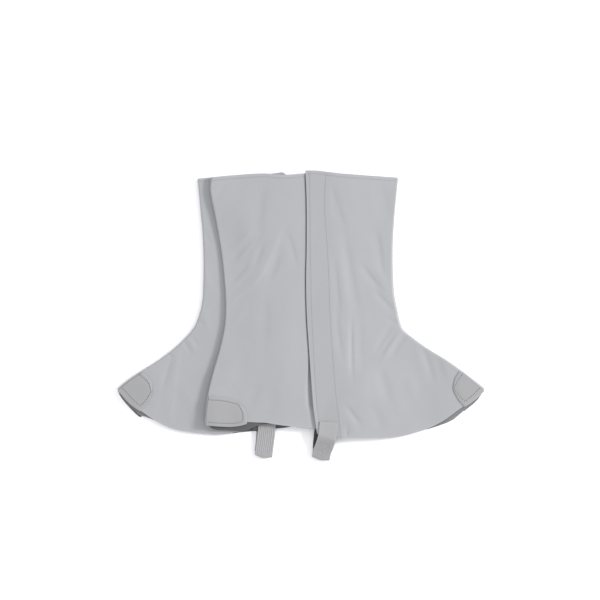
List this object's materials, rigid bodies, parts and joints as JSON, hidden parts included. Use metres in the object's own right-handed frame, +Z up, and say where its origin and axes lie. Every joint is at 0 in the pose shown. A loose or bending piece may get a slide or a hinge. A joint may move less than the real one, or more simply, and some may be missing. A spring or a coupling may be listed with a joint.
{
  "type": "pair of beekeeping gaiters",
  "caption": "Two light grey leather leg gaiters laid flat, one across the other: flared toe and heel, flap closure, corner patches and a strap under the shoe.",
  "frame": {"origin": "on the surface that the pair lies on, under the middle of its box", "axes": "+X to the upper gaiter's toe, +Y to the gaiters' top edges, +Z up"},
  "size_m": [0.4064, 0.3192, 0.0137],
  "materials": {
    "panel_leather": "smooth matte light grey leather with raw cut edges",
    "patch_leather": "matte light grey leather with a fine grain",
    "closure_tape": "hook and loop tape",
    "strap_tape": "close woven tape",
    "strap_elastic": "ribbed elastic"
  },
  "bodies": {
    "root": {"upper_inner_panel": "panel_leather", "upper_heel_panel": "panel_leather", "upper_toe_panel": "panel_leather", "upper_toe_patch_outer": "patch_leather", "upper_toe_patch_inner": "patch_leather", "upper_heel_patch_outer": "patch_leather", "upper_heel_patch_inner": "patch_leather", "upper_hook_tape": "closure_tape", "upper_loop_tape": "closure_tape", "upper_strap_tape": "strap_tape", "upper_strap_elastic": "strap_elastic", "lower_inner_panel": "panel_leather", "lower_heel_panel": "panel_leather", "lower_toe_panel": "panel_leather", "lower_toe_patch_outer": "patch_leather", "lower_toe_patch_inner": "patch_leather", "lower_heel_patch_outer": "patch_leather", "lower_heel_patch_inner": "patch_leather", "lower_hook_tape": "closure_tape", "lower_loop_tape": "closure_tape", "lower_strap_tape": "strap_tape", "lower_strap_elastic": "strap_elastic"}
  },
  "joints": []
}
